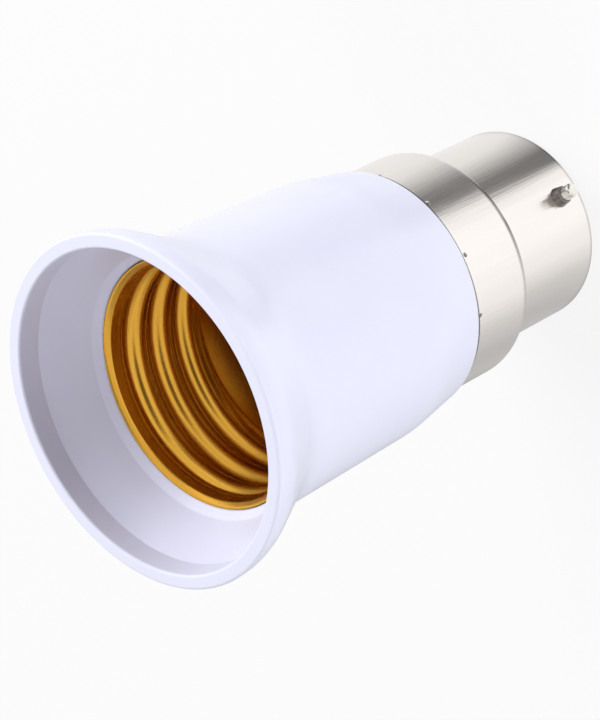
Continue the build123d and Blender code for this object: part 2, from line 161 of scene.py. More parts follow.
def grid_mesh(name, points, ring=True):
    """A smooth mesh over a grid of points, with one quad between neighbours. Its columns close on
    themselves, and a ring's rows do too. Points that meet in a pole are merged."""
    rows, columns = points.shape[:2]
    index = np.arange(rows * columns).reshape(rows, columns)
    lower = index if ring else index[:-1]
    upper = np.roll(index, -1, 0)[: len(lower)]
    quads = np.stack([lower, np.roll(lower, -1, 1), np.roll(upper, -1, 1), upper], -1)
    mesh = bpy.data.meshes.new(name)
    mesh.from_pydata(points.reshape(-1, 3) * MM, [], quads.reshape(-1, 4).tolist())
    shape = bmesh.new()
    shape.from_mesh(mesh)
    bmesh.ops.remove_doubles(shape, verts=shape.verts, dist=MERGE_DISTANCE * MM)
    bmesh.ops.recalc_face_normals(shape, faces=shape.faces)
    shape.to_mesh(mesh)
    shape.free()
    mesh.shade_smooth()
    mesh.set_sharp_from_angle(angle=radians(SHARP_ANGLE))
    return mesh


def in_scene(name, data):
    """A new object with the given data, linked to the scene."""
    placed = bpy.data.objects.new(name, data)
    bpy.context.scene.collection.objects.link(placed)
    return placed


def show(mesh, material, node):
    """Puts a mesh in the scene with its material and slot, in place of its node."""
    piece = in_scene(mesh.name, mesh)
    mesh.materials.append(material)
    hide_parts(node)
    return piece


def shader_group(name, inputs, outputs):
    """An empty shader node group with inputs and outputs of (name, kind)."""
    group = bpy.data.node_groups.new(name, "ShaderNodeTree")
    for socket, kind in inputs:
        group.interface.new_socket(name=socket, in_out="INPUT", socket_type=f"NodeSocket{kind}")
    for socket, kind in outputs:
        group.interface.new_socket(name=socket, in_out="OUTPUT", socket_type=f"NodeSocket{kind}")
    return group, group.nodes.new("NodeGroupInput"), group.nodes.new("NodeGroupOutput")


def moulded_skin_group():
    """The skin of a moulding: Patch is a slow cloudiness and Grain a fine unevenness. Each is noise
    at the position, with its own scale per metre."""
    inputs = [("Position", "Vector"), ("Patch Scale", "Float"), ("Grain Scale", "Float")]
    outputs = [("Patch", "Float"), ("Grain", "Float")]
    group, given, result = shader_group("moulded skin", inputs, outputs)
    for output, detail in (("Patch", 3.0), ("Grain", 2.0)):
        noise = group.nodes.new("ShaderNodeTexNoise")
        noise.inputs["Detail"].default_value = detail
        group.links.new(given.outputs["Position"], noise.inputs["Vector"])
        group.links.new(given.outputs[output + " Scale"], noise.inputs["Scale"])
        group.links.new(noise.outputs["Fac"], result.inputs[output])
    return group


def new_material(name):
    """A node material, with its tree and its shader."""
    material = bpy.data.materials.new(name)
    material.use_nodes = True
    return material, material.node_tree, material.node_tree.nodes["Principled BSDF"]


def place_group(tree, group, values):
    """A group's node in a material, fed with the piece's own coordinates and the given values."""
    coordinates = tree.nodes.new("ShaderNodeTexCoord")
    node = tree.nodes.new("ShaderNodeGroup")
    node.node_tree = group
    tree.links.new(coordinates.outputs["Object"], node.inputs["Position"])
    for socket, value in values.items():
        node.inputs[socket].default_value = value
    return node


def tint_between(tree, noise, first, second):
    """A colour that runs from the first to the second as a noise rises through its middle part."""
    ramp = tree.nodes.new("ShaderNodeValToRGB")
    ramp.color_ramp.elements[0].position = NOISE_LOW
    ramp.color_ramp.elements[0].color = first
    ramp.color_ramp.elements[1].position = NOISE_HIGH
    ramp.color_ramp.elements[1].color = second
    tree.links.new(noise, ramp.inputs["Fac"])
    return ramp.outputs["Color"]


def spread(tree, noise, low, high):
    """A value that runs from low to high as a noise rises through its middle part."""
    spread_node = tree.nodes.new("ShaderNodeMapRange")
    ends = {"From Min": NOISE_LOW, "From Max": NOISE_HIGH, "To Min": low, "To Max": high}
    for socket, value in ends.items():
        spread_node.inputs[socket].default_value = value
    tree.links.new(noise, spread_node.inputs["Value"])
    return spread_node.outputs["Result"]


def raise_bump(tree, shader, height, strength, distance):
    """Feeds a height into the shader's normal, as a bump of that distance in millimetres."""
    bump = tree.nodes.new("ShaderNodeBump")
    bump.inputs["Strength"].default_value = strength
    bump.inputs["Distance"].default_value = distance * MM
    tree.links.new(height, bump.inputs["Height"])
    tree.links.new(bump.outputs["Normal"], shader.inputs["Normal"])


def moulded_plastic(name, colour, clouded, roughness, grain_scale, grain_depth):
    """Plastic with a moulded skin, whose patches vary its colour and roughness."""
    material, tree, shader = new_material(name)
    skin = place_group(tree, moulded_skin, {"Patch Scale": PATCH_SCALE, "Grain Scale": grain_scale})
    tint = tint_between(tree, skin.outputs["Patch"], colour, clouded)
    tree.links.new(tint, shader.inputs["Base Color"])
    tree.links.new(spread(tree, skin.outputs["Patch"], *roughness), shader.inputs["Roughness"])
    raise_bump(tree, shader, skin.outputs["Grain"], GRAIN_STRENGTH, grain_depth)
    return material


def flare_point(radius):
    """The point of the flare's outside at a radius: the mouth's cone, one wall further out."""
    run, rise = np.subtract(CONE_TOP, CONE_FOOT)
    inner_radius = radius - FLARE_WALL * np.hypot(run, rise) / rise
    return radius, CONE_FOOT[1] + (inner_radius - CONE_FOOT[0]) * rise / run


seam_z = box_mm("bayonet_cap")[1][2]
housing_low, housing_high = box_mm("housing")
spigot_end_z, mouth_z = housing_low[2], housing_high[2]
socket_step_top_z = SOCKET_STEP_Z + SOCKET_BORE - SOCKET_FOOT_BORE
housing_outline = rounded_outline([
    (SPIGOT_RADIUS, spigot_end_z, SPIGOT_END_ROUND),
    (SPIGOT_RADIUS, seam_z, 0),
    (BODY_FOOT_RADIUS, seam_z, BODY_FOOT_ROUND),
    (BODY_RADIUS - BODY_SWELL_STEP, seam_z + BODY_SWELL_HEIGHT, BODY_SWELL_ROUND),
    (*flare_point(BODY_RADIUS), FLARE_FOOT_ROUND),
    (*flare_point(FLARE_TOP_RADIUS), FLARE_TOP_ROUND),
    (RIM_RADIUS, mouth_z, RIM_ROUND),
    (MOUTH_RADIUS, mouth_z, RIM_ROUND),
    (*CONE_TOP, CONE_TOP_ROUND),
    (*CONE_FOOT, CONE_FOOT_ROUND),
    (SOCKET_BORE, LEDGE_EDGE_Z, LEDGE_EDGE_ROUND),
    (SOCKET_BORE, socket_step_top_z, 0),
    (SOCKET_FOOT_BORE, SOCKET_STEP_Z, 0),
    (SOCKET_FOOT_BORE, FLOOR_TOP_Z, 0),
    (0, FLOOR_TOP_Z, 0),
    (0, FLOOR_BOTTOM_Z, 0),
    (SPIGOT_BORE, FLOOR_BOTTOM_Z, SPIGOT_FLOOR_ROUND),
    (SPIGOT_BORE, spigot_end_z, SPIGOT_END_ROUND),
])
moulded_skin = moulded_skin_group()
white_plastic = moulded_plastic(
    "white plastic", WHITE_PLASTIC, WHITE_PLASTIC_CLOUDED,
    roughness=(0.2, 0.27), grain_scale=900, grain_depth=0.004,
)
housing_mesh = grid_mesh("housing_moulding", turned(housing_outline, full_turn(HOUSING_COLUMNS)))
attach(show(housing_mesh, white_plastic, "housing"), "adapter")


# Screw shell
# Thin gold-coloured sheet, rolled to the coarse right-hand lamp thread and flanged inwards at its
# foot. It is pushed into the housing's bore, and its lip is flared out to lie level with the ledge.
SHELL_SHEET = 0.25
SHELL_CREST_RADIUS = 12.2
SHELL_FLANGE_RADIUS = 8.25
SHELL_FOOT_CHAMFER = 0.8
SHELL_FOOT_ROUND = 0.3
SHELL_FLANGE_ROUND = 0.08
THREAD_DEPTH = 1.08
THREAD_PITCH = 3.629
THREAD_TOP_BELOW_LIP = 1.4
THREAD_LIP_FADE = 1.4
THREAD_FOOT_FADE = 2.0
THREAD_CREST_DROP = 4.45
THREAD_CREST_TURN = 148.6
LIP_BELOW_LEDGE = 0.05
LIP_NECK = 0.71
LIP_NECK_TAPER = 0.12
LIP_FLARE = 0.42
LIP_FLARE_HEIGHT = 0.47
LIP_FLARE_POWER = 1.1
LIP_ROUND = 0.1
CLOSE_SUPPORT = 0.02
# Painted shade: a dark band low in the socket, on its -X half.
SHELL_PAINTED_SHADE = (0.07, 0.04, 0.06, 1)
SHELL_SHADE_COVER = 0.36
SHELL_SHADE_LOW_Z, SHELL_SHADE_HIGH_Z = 31.5, 38.3
SHELL_SHADE_FADE = 1.6
THREAD_ROWS = 150
FOOT_ROWS = 16
SHELL_COLUMNS = 240
LINE_STRENGTH = 0.5
GOLD = (0.73, 0.385, 0.052, 1)
GOLD_DULL = (0.70, 0.365, 0.048, 1)


def ease(share):
    """A smooth step from 0 to 1: three times the square less twice the cube."""
    held = np.clip(share, 0, 1)
    return held * held * (3 - 2 * held)


def shell_surface(outline, turns):
    """The shell's outline of (distance from the crest's radius, height) carried round. At every turn
    the wall runs along equal arcs that touch each other, one per crest and one per groove: at a
    distance s from the nearer one it has moved by R - root(R squared - s squared). The thread fades
    out at the foot and at the lip, where the wall keeps to a tapered neck and then flares out by a
    power of the height."""
    offset, z = outline[:, :1], outline[:, 1:]
    crest = ease((lip_z - THREAD_TOP_BELOW_LIP - z) / THREAD_LIP_FADE)
    groove = ease((z - SOCKET_STEP_Z) / THREAD_FOOT_FADE)
    neck = (1 - crest) * (LIP_NECK - LIP_NECK_TAPER * (lip_z - z))
    flare = LIP_FLARE * np.clip(1 - (lip_z - z) / LIP_FLARE_HEIGHT, 0, 1) ** LIP_FLARE_POWER
    rise = z - (lip_z - THREAD_CREST_DROP)
    groove_turn = radians(THREAD_CREST_TURN + 180) + 2 * pi * rise / THREAD_PITCH
    from_crest = THREAD_PITCH * np.abs((groove_turn - turns) / (2 * pi) % 1 - 0.5)
    from_groove = THREAD_PITCH / 2 - from_crest
    flank = 2 * np.arctan(2 * THREAD_DEPTH / THREAD_PITCH)
    arc = THREAD_PITCH / 4 / np.sin(flank)
    moved = arc - np.sqrt(arc**2 - np.minimum(from_crest, from_groove) ** 2)
    depth = np.where(from_crest < from_groove, moved, THREAD_DEPTH - moved)
    radius = SHELL_CREST_RADIUS + neck + crest * groove * depth + flare + offset
    return np.stack([radius * np.cos(turns), radius * np.sin(turns), z + 0 * turns], -1)


def tooling_lines_group():
    """Fine lines that a tool leaves in metal: noise at the position times a stretch, so that they
    run where the stretch is small. Broad gives bands, and Fine gives single lines."""
    inputs = [("Position", "Vector"), ("Stretch", "Vector")]
    outputs = [("Broad", "Float"), ("Fine", "Float")]
    group, given, result = shader_group("tooling lines", inputs, outputs)
    stretched = group.nodes.new("ShaderNodeVectorMath")
    stretched.operation = "MULTIPLY"
    group.links.new(given.outputs["Position"], stretched.inputs[0])
    group.links.new(given.outputs["Stretch"], stretched.inputs[1])
    for output, scale, detail in (("Broad", 1.0, 2.0), ("Fine", 6.0, 4.0)):
        noise = group.nodes.new("ShaderNodeTexNoise")
        noise.inputs["Scale"].default_value = scale
        noise.inputs["Detail"].default_value = detail
        group.links.new(stretched.outputs[0], noise.inputs["Vector"])
        group.links.new(noise.outputs["Fac"], result.inputs[output])
    return group


def dirt_and_shade_group():
    """Dirt and painted shade on a surface: its colour runs from the clean one to the dark one as the
    cover rises.
    """
    inputs = [("Cover", "Float"), ("Clean", "Color"), ("Soil", "Color")]
    group, given, result = shader_group("soil cover", inputs, [("Colour", "Color")])
    mix = group.nodes.new("ShaderNodeMix")
    mix.data_type = "RGBA"
    group.links.new(given.outputs["Cover"], mix.inputs["Factor"])
    group.links.new(given.outputs["Clean"], mix.inputs["A"])
    group.links.new(given.outputs["Soil"], mix.inputs["B"])
    group.links.new(mix.outputs["Result"], result.inputs["Colour"])
    return group


def lined_metal(name, bright, dull, stretch, roughness, line_depth, dirt_and_shade_colour=None):
    """Metal with tool lines, which tint it between two colours and vary its roughness. A dark colour
    of dirt and painted shade covers it where the piece's own attribute for these says so."""
    material, tree, shader = new_material(name)
    lines = place_group(tree, tooling_lines, {"Stretch": stretch})
    shader.inputs["Metallic"].default_value = 1
    tint = tint_between(tree, lines.outputs["Broad"], bright, dull)
    if dirt_and_shade_colour:
        cover = tree.nodes.new("ShaderNodeAttribute")
        cover.attribute_name = "soil"
        darkened = tree.nodes.new("ShaderNodeGroup")
        darkened.node_tree = dirt_and_shade_cover
        darkened.inputs["Soil"].default_value = dirt_and_shade_colour
        tree.links.new(cover.outputs["Fac"], darkened.inputs["Cover"])
        tree.links.new(tint, darkened.inputs["Clean"])
        tint = darkened.outputs["Colour"]
    tree.links.new(tint, shader.inputs["Base Color"])
    tree.links.new(spread(tree, lines.outputs["Fine"], *roughness), shader.inputs["Roughness"])
    raise_bump(tree, shader, lines.outputs["Fine"], LINE_STRENGTH, line_depth)
    return material


def soil(mesh, rule):
    """Stores how much dirt and painted shade lies at each point of a mesh, by a rule on the points in
    millimetres.
    """
    points = np.empty(3 * len(mesh.vertices))
    mesh.vertices.foreach_get("co", points)
    cover = mesh.attributes.new("soil", "FLOAT", "POINT")
    cover.data.foreach_set("value", rule(points.reshape(-1, 3) / MM))


def shell_painted_shade(points):
    """Painted shade in a band along the -X half of the shell's foot, deep in the socket, which fades
    out all round.
    """
    x, y, z = points.T
    band = ease((z - SHELL_SHADE_LOW_Z) / SHELL_SHADE_FADE) * ease((SHELL_SHADE_HIGH_Z - z) / SHELL_SHADE_FADE)
    return SHELL_SHADE_COVER * band * ease(0.5 - x / np.hypot(x, y))


lip_z = LEDGE_Z - LIP_BELOW_LEDGE
flange_top_z = FLOOR_TOP_Z + SHELL_SHEET
thread_rows = np.linspace(SOCKET_STEP_Z, lip_z - SHELL_SHEET, THREAD_ROWS)
foot_rows = np.linspace(SOCKET_STEP_Z, flange_top_z + 2 * SHELL_FOOT_CHAMFER, FOOT_ROWS)[1:]
shell_outline = rounded_outline([
    *[(0, z, 0) for z in thread_rows[::-1]],
    *[(0, z, 0) for z in foot_rows],
    (0, flange_top_z + SHELL_FOOT_CHAMFER, SHELL_FOOT_ROUND),
    (-SHELL_FOOT_CHAMFER, flange_top_z, SHELL_FOOT_ROUND),
    (SHELL_FLANGE_RADIUS - SHELL_CREST_RADIUS, flange_top_z, SHELL_FLANGE_ROUND),
    (SHELL_FLANGE_RADIUS - SHELL_CREST_RADIUS, FLOOR_TOP_Z, SHELL_FLANGE_ROUND),
    (SHELL_SHEET - SHELL_FOOT_CHAMFER, FLOOR_TOP_Z, SHELL_FOOT_ROUND),
    (SHELL_SHEET, FLOOR_TOP_Z + SHELL_FOOT_CHAMFER, SHELL_FOOT_ROUND),
    *[(SHELL_SHEET, z, 0) for z in thread_rows],
    (SHELL_SHEET, lip_z, LIP_ROUND),
    (0, lip_z, LIP_ROUND),
], CLOSE_SUPPORT)
tooling_lines = tooling_lines_group()
dirt_and_shade_cover = dirt_and_shade_group()
gold_sheet = lined_metal(
    "gold sheet", GOLD, GOLD_DULL,
    stretch=(60, 60, 700), roughness=(0.24, 0.28), line_depth=0.0001, dirt_and_shade_colour=SHELL_PAINTED_SHADE,
)
shell_mesh = grid_mesh("screw_shell_rolled", shell_surface(shell_outline, full_turn(SHELL_COLUMNS)))
soil(shell_mesh, shell_painted_shade)
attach(show(shell_mesh, gold_sheet, "screw_shell"), "adapter")


# Shell rivets
# Two semi-tubular brass rivets that hold the shell's flange to the housing's floor. Their heads are
# rounded, and their tails are rolled over under the floor; one also holds a solder tag.
RIVET_HEAD_HEIGHT = 0.7
RIVET_TAIL_HEIGHT = 0.45
RIVET_ROUNDED_SHARE = 0.7
RIVET_BORE_DEPTH = 1.6
RIVET_WALL = 0.35
RIVET_SEAT_ROUND = 0.05
RIVET_MOUTH_ROUND = 0.08
RIVET_BORE_ROUND = 0.1
RIVET_COLUMNS = 72
SHELL_RIVET_SHANK, SHELL_RIVET_HEAD, SHELL_RIVET_TAIL = 0.8, 1.25, 1.15
TAG_SHEET = 0.4
RIVET_BRASS = (0.72, 0.57, 0.29, 1)
RIVET_BRASS_DULL = (0.60, 0.45, 0.21, 1)


def middle_mm(node):
    """The middle of a node's box, in millimetres."""
    low, high = box_mm(node)
    return (low + high) / 2


def rivet_surface(y, seat_top, seat_bottom, shank, head, tail):
    """A rivet's outline carried round its axis: a rounded head on the upper seat, a shank, and a
    rolled tail under the lower seat with the bore in its end. Shank, head and tail are radii."""
    top = seat_top + RIVET_HEAD_HEIGHT
    bottom = seat_bottom - RIVET_TAIL_HEIGHT
    bore = shank - RIVET_WALL
    outline = rounded_outline([
        (0, top, 0),
        (head, top, RIVET_ROUNDED_SHARE * RIVET_HEAD_HEIGHT),
        (head, seat_top, RIVET_SEAT_ROUND),
        (shank, seat_top, 0),
        (shank, seat_bottom, 0),
        (tail, seat_bottom, RIVET_SEAT_ROUND),
        (tail, bottom, RIVET_ROUNDED_SHARE * RIVET_TAIL_HEIGHT),
        (bore, bottom, RIVET_MOUTH_ROUND),
        (bore, bottom + RIVET_BORE_DEPTH, RIVET_BORE_ROUND),
        (0, bottom + RIVET_BORE_DEPTH, 0),
    ], CLOSE_SUPPORT)
    return turned(outline, full_turn(RIVET_COLUMNS), y)


rivet_brass = lined_metal(
    "rivet brass", RIVET_BRASS, RIVET_BRASS_DULL,
    stretch=(500, 500, 500), roughness=(0.2, 0.32), line_depth=0.001,
)
tag_bottom_z = FLOOR_BOTTOM_Z - TAG_SHEET
for rivet, seat_bottom in (("shell_rivet_a", tag_bottom_z), ("shell_rivet_b", FLOOR_BOTTOM_Z)):
    points = rivet_surface(
        middle_mm(rivet)[1], flange_top_z, seat_bottom,
        SHELL_RIVET_SHANK, SHELL_RIVET_HEAD, SHELL_RIVET_TAIL,
    )
    rivet_mesh = grid_mesh(f"{rivet}_set", points, ring=False)
    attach(show(rivet_mesh, rivet_brass, rivet), "adapter")


# Centre contact
# A strip of spring bronze, bent into a hairpin over its riveted base. Its crown presses against the
# lamp's centre contact and gives by about a millimetre, turning at the hairpin.
LEAF_SHEET = 0.4
LEAF_WIDTH = 5.5
LEAF_BASE_START = 2.8
LEAF_BASE_LENGTH = 8.0
LEAF_BEND_RADIUS = 1.6
LEAF_BEND_ANGLE = 170
LEAF_ARM_LENGTH = 5.0
LEAF_CROWN_RADIUS = 5.0
LEAF_CROWN_ANGLE = 45
LEAF_CORNER_ROUND = 1.6
LEAF_EDGE_ROUND = 0.1
LEAF_ROWS = 500
BRONZE = (0.70, 0.52, 0.27, 1)
BRONZE_DULL = (0.60, 0.42, 0.20, 1)


def leaf_surface():
    """The strip's section carried along its middle line. The heading starts along -X and turns
    through the hairpin and the crown at even rates; x and z are the running sums of its cosine and
    sine. The half width falls at the free ends, as a circle of the corner's round does."""
    bend = LEAF_BEND_RADIUS * radians(LEAF_BEND_ANGLE)
    crown = LEAF_CROWN_RADIUS * radians(LEAF_CROWN_ANGLE)
    crown_start = LEAF_BASE_LENGTH + bend + LEAF_ARM_LENGTH
    along = np.linspace(0, crown_start + crown, LEAF_ROWS)
    step = along[1]
    heading = pi - radians(LEAF_BEND_ANGLE) * np.clip((along - LEAF_BASE_LENGTH) / bend, 0, 1)
    heading = heading - radians(LEAF_CROWN_ANGLE) * np.clip((along - crown_start) / crown, 0, 1)
    middle_heading = (heading[1:] + heading[:-1]) / 2
    x = LEAF_BASE_START + np.concatenate([[0], np.cumsum(np.cos(middle_heading) * step)])
    z = FLOOR_TOP_Z + LEAF_SHEET / 2 + np.concatenate([[0], np.cumsum(np.sin(middle_heading) * step)])
    inset = np.clip(LEAF_CORNER_ROUND - np.minimum(along, along[-1] - along), 0, None)
    narrowing = LEAF_CORNER_ROUND - np.sqrt(LEAF_CORNER_ROUND**2 - inset**2)
    half_width, half_sheet = LEAF_WIDTH / 2, LEAF_SHEET / 2
    section = rounded_outline([
        (half_width, -half_sheet, LEAF_EDGE_ROUND),
        (half_width, half_sheet, LEAF_EDGE_ROUND),
        (-half_width, half_sheet, LEAF_EDGE_ROUND),
        (-half_width, -half_sheet, LEAF_EDGE_ROUND),
    ], support=0.03, facets=5)
    across, lift = section[:, 0], section[:, 1]
    points = np.stack([
        x[:, None] - lift * np.sin(heading)[:, None],
        across - np.sign(across) * narrowing[:, None],
        z[:, None] + lift * np.cos(heading)[:, None],
    ], -1)
    ends = points.mean(axis=1, keepdims=True) + 0 * points
    return np.concatenate([ends[:1], points, ends[-1:]])


spring_bronze = lined_metal(
    "spring bronze", BRONZE, BRONZE_DULL,
    stretch=(60, 1500, 300), roughness=(0.26, 0.36), line_depth=0.0008,
)
leaf = show(
    grid_mesh("centre_contact_leaf", leaf_surface(), ring=False),
    spring_bronze, "centre_contact",
)
leaf_base_top_z = FLOOR_TOP_Z + LEAF_SHEET
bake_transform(leaf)


# Centre rivet
# The same kind of rivet, larger: it fixes the leaf's base and the live tag through the floor.
# It is of the same brass as the shell's rivets.
CENTRE_RIVET_SHANK, CENTRE_RIVET_HEAD, CENTRE_RIVET_TAIL = 1.2, 1.9, 1.8

centre_points = rivet_surface(
    0, leaf_base_top_z, tag_bottom_z, CENTRE_RIVET_SHANK, CENTRE_RIVET_HEAD, CENTRE_RIVET_TAIL
)
centre_rivet_mesh = grid_mesh("centre_rivet_set", centre_points, ring=False)
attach(show(centre_rivet_mesh, rivet_brass, "centre_rivet"), "adapter")


# Solder tags
# Two brass washers with a tail bent down for the wire, held under the floor by the rivets' tails.
# They are stamped from sheet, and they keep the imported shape.
TAG_BRASS = (0.68, 0.55, 0.31, 1)
TAG_BRASS_DULL = (0.56, 0.43, 0.22, 1)


def dress(material, *nodes):
    """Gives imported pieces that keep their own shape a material."""
    for node in nodes:
        frame["nodes"][node].material_slots[0].material = material


tag_brass = lined_metal(
    "tag brass", TAG_BRASS, TAG_BRASS_DULL,
    stretch=(900, 90, 90), roughness=(0.3, 0.42), line_depth=0.001,
)
dress(tag_brass, "live_tag", "neutral_tag")


# Wires
# Two short tinned leads from the tags to the end contacts, each in a soft sleeve: brown for the
# live one and blue for the neutral one. Solder holds them to the tags.
TINNED = (0.70, 0.68, 0.64, 1)
TINNED_DULL = (0.55, 0.53, 0.50, 1)
LIVE_SLEEVE = (0.28, 0.11, 0.05, 1)
LIVE_SLEEVE_CLOUDED = (0.23, 0.09, 0.04, 1)
NEUTRAL_SLEEVE = (0.07, 0.15, 0.40, 1)
NEUTRAL_SLEEVE_CLOUDED = (0.055, 0.12, 0.34, 1)
SOLDER = (0.66, 0.66, 0.67, 1)
SOLDER_DULL = (0.48, 0.48, 0.50, 1)

tinned_wire = lined_metal(
    "tinned wire", TINNED, TINNED_DULL,
    stretch=(900, 900, 90), roughness=(0.25, 0.4), line_depth=0.001,
)
dress(tinned_wire, "live_conductor", "neutral_conductor")
for pole, colour, clouded in (
    ("live", LIVE_SLEEVE, LIVE_SLEEVE_CLOUDED),
    ("neutral", NEUTRAL_SLEEVE, NEUTRAL_SLEEVE_CLOUDED),
):
    sleeve = moulded_plastic(
        f"{pole} sleeve", colour, clouded,
        roughness=(0.42, 0.55), grain_scale=2500, grain_depth=0.006,
    )
    dress(sleeve, f"{pole}_insulation")
solder = lined_metal(
    "solder", SOLDER, SOLDER_DULL,
    stretch=(350, 350, 350), roughness=(0.24, 0.42), line_depth=0.006,
)
dress(solder, "live_tag_solder", "neutral_tag_solder")


# End disc
# A dark moulded disc, matt and slightly grained, that closes the cap's end and carries the two end
# contacts in shallow pockets. The cap's turned-in edge holds it.
DISC_BLACK = (0.028, 0.028, 0.031, 1)
DISC_GREYED = (0.042, 0.042, 0.045, 1)

dark_insulator = moulded_plastic(
    "dark insulator", DISC_BLACK, DISC_GREYED,
    roughness=(0.5, 0.68), grain_scale=3500, grain_depth=0.02,
)
dress(dark_insulator, "end_insulator")


# End contacts
# Two brass eyelets with flat heads in the disc's pockets, flared over on its far side. The wires end
# in them under domed solder beads, which the lamp holder's plungers touch.
EYELET_HEAD_RADIUS = 2.5
EYELET_TUBE_RADIUS = 1.1
EYELET_FLARE_RADIUS = 1.6
EYELET_BORE = 0.7
EYELET_HEAD_HEIGHT = 0.35
EYELET_FLARE_HEIGHT = 0.3
EYELET_FACE_ROUND = 0.08
EYELET_RIM_ROUND = 0.15
EYELET_SEAT_ROUND = 0.05
EYELET_MOUTH_ROUND = 0.1
EYELET_COLUMNS = 96
BEAD_RADIUS = 2.1
BEAD_PLUG_DEPTH = 0.7
BEAD_ROWS = 24
EYELET_BRASS = (0.73, 0.58, 0.31, 1)
EYELET_BRASS_DULL = (0.62, 0.47, 0.23, 1)


def eyelet_surface(y, face_z, top_z):
    """The eyelet's outline carried round: head, tube, flare and the bore through all three."""
    outline = rounded_outline([
        (EYELET_BORE, face_z, EYELET_FACE_ROUND),
        (EYELET_HEAD_RADIUS, face_z, EYELET_RIM_ROUND),
        (EYELET_HEAD_RADIUS, face_z + EYELET_HEAD_HEIGHT, EYELET_SEAT_ROUND),
        (EYELET_TUBE_RADIUS, face_z + EYELET_HEAD_HEIGHT, 0),
        (EYELET_TUBE_RADIUS, top_z - EYELET_FLARE_HEIGHT, 0),
        (EYELET_FLARE_RADIUS, top_z - EYELET_FLARE_HEIGHT, EYELET_SEAT_ROUND),
        (EYELET_FLARE_RADIUS, top_z, EYELET_RIM_ROUND),
        (EYELET_BORE, top_z, EYELET_MOUTH_ROUND),
    ], CLOSE_SUPPORT)
    return turned(outline, full_turn(EYELET_COLUMNS), y)


def bead_surface(y, low_z, face_z):
    """A bead's outline carried round: a dome that is part of a sphere through its lowest point and
    its edge on the eyelet's face, and a plug in the eyelet's bore."""
    height = face_z - low_z
    ball = (BEAD_RADIUS**2 + height**2) / (2 * height)
    radius = np.linspace(0, BEAD_RADIUS, BEAD_ROWS)
    dome = np.stack([radius, low_z + ball - np.sqrt(ball**2 - radius**2)], -1)
    plug_z = face_z + BEAD_PLUG_DEPTH
    plug = [(EYELET_BORE, face_z), (EYELET_BORE, plug_z), (0, plug_z)]
    return turned(np.concatenate([dome, plug]), full_turn(EYELET_COLUMNS), y)


eyelet_brass = lined_metal(
    "eyelet brass", EYELET_BRASS, EYELET_BRASS_DULL,
    stretch=(400, 400, 400), roughness=(0.2, 0.32), line_depth=0.001,
)
for pole in ("live", "neutral"):
    eyelet_low, eyelet_high = box_mm(f"{pole}_end_contact")
    eyelet_y = middle_mm(f"{pole}_end_contact")[1]
    points = eyelet_surface(eyelet_y, eyelet_low[2], eyelet_high[2])
    eyelet = show(
        grid_mesh(f"{pole}_eyelet", points), eyelet_brass, f"{pole}_end_contact"
    )
    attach(eyelet, "adapter")
    bead_low_z = box_mm(f"{pole}_end_solder")[0][2]
    points = bead_surface(eyelet_y, bead_low_z, eyelet_low[2])
    bead = show(grid_mesh(f"{pole}_bead", points, ring=False), solder, f"{pole}_end_solder")
    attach(bead, "adapter")


# Bayonet cap
# One cup, deep-drawn from brass sheet and nickel plated: a barrel, a stepped shoulder and a wider
# skirt, with the end turned in. A ring of punch marks locks the skirt to the housing's spigot. The
# drawing leaves faint lines along the axis. Dirt and painted shade darken the marks, painted shade
# darkens a band below the seam, and a painted dark reflection lies on the shoulder's edge.
CAP_SHEET = 0.35
CAP_FLANGE_WIDTH = 1.5
CAP_SHOULDER_Z = 14.1
CAP_END_ROUND = 0.9
CAP_NECK_ROUND = 0.5
CAP_SHOULDER_ROUND = 1.4
CAP_EDGE_ROUND = 0.08
STAKES = 12
STAKE_TURN = -4.4
STAKE_BELOW_EDGE = 0.9
STAKE_BALL = 0.28
STAKE_DEPTH = 0.16
STAKE_WALL = 0.3
STAKE_LIP_SOFTNESS = 0.02
STAKE_ROWS = 27
STAKE_ROW_SPAN = 1.3
STAKE_COLUMNS = 46
STAKE_EVEN_SHARE = 0.22
# Dirt and painted shade in the stakes, painted shade below the seam and a painted dark reflection on
# the shoulder's edge, all in one dark colour.
STAKE_DIRT_AND_SHADE = 0.8
STAKE_DIRT_AND_SHADE_RADIUS = 0.3
SEAM_PAINTED_SHADE = 0.85
SEAM_SHADE_LEAST, SEAM_SHADE_MOST = 0.56, 1.15
SEAM_SHADE_FADE = 0.1
EDGE_PAINTED_REFLECTION = 0.8
EDGE_REFLECTION_Z = 14.75
EDGE_REFLECTION_WIDTH = 0.8
EDGE_REFLECTION_POWER = 4
CAP_SHADE_AND_DIRT = (0.07, 0.062, 0.058, 1)
NICKEL = (0.83, 0.79, 0.76, 1)
NICKEL_DRAWN = (0.81, 0.77, 0.74, 1)


def mount_mm(name, size):
    """One of a mount's stated sizes, in millimetres."""
    return next(m["dims"][size] for m in frame["record"]["mounts"] if m["name"] == name)


def stake_distance(points):
    """Each point's distance along the skirt from the middle of the nearest stake."""
    radius = np.hypot(points[..., 0], points[..., 1])
    turn = np.degrees(np.arctan2(points[..., 1], points[..., 0]))
    aside = radius * np.radians((turn - STAKE_TURN + stake_pitch / 2) % stake_pitch - stake_pitch / 2)
    return np.hypot(aside, points[..., 2] - stake_z)


def staked(points):
    """Presses the stakes into the turned cup. At a distance q from a stake's middle the wall moves
    in by root(ball squared - q squared) - (ball - depth), faded in softly at the pit's lip. The
    inner wall moves by the same rule, with a ball that is one wall larger."""
    radius = np.hypot(points[..., 0], points[..., 1])
    distance = stake_distance(points)
    inner = radius < (skirt_radius + skirt_bore) / 2
    ball = np.where(inner, STAKE_BALL + STAKE_WALL, STAKE_BALL)
    flat = np.where(inner, STAKE_BALL - STAKE_DEPTH + CAP_SHEET, STAKE_BALL - STAKE_DEPTH)
    push = np.sqrt(np.maximum(ball**2 - distance**2, 0)) - flat
    push = STAKE_LIP_SOFTNESS * np.logaddexp(0, push / STAKE_LIP_SOFTNESS)
    share = (radius - push) / radius
    return points * np.stack([share, share, np.ones_like(share)], -1)


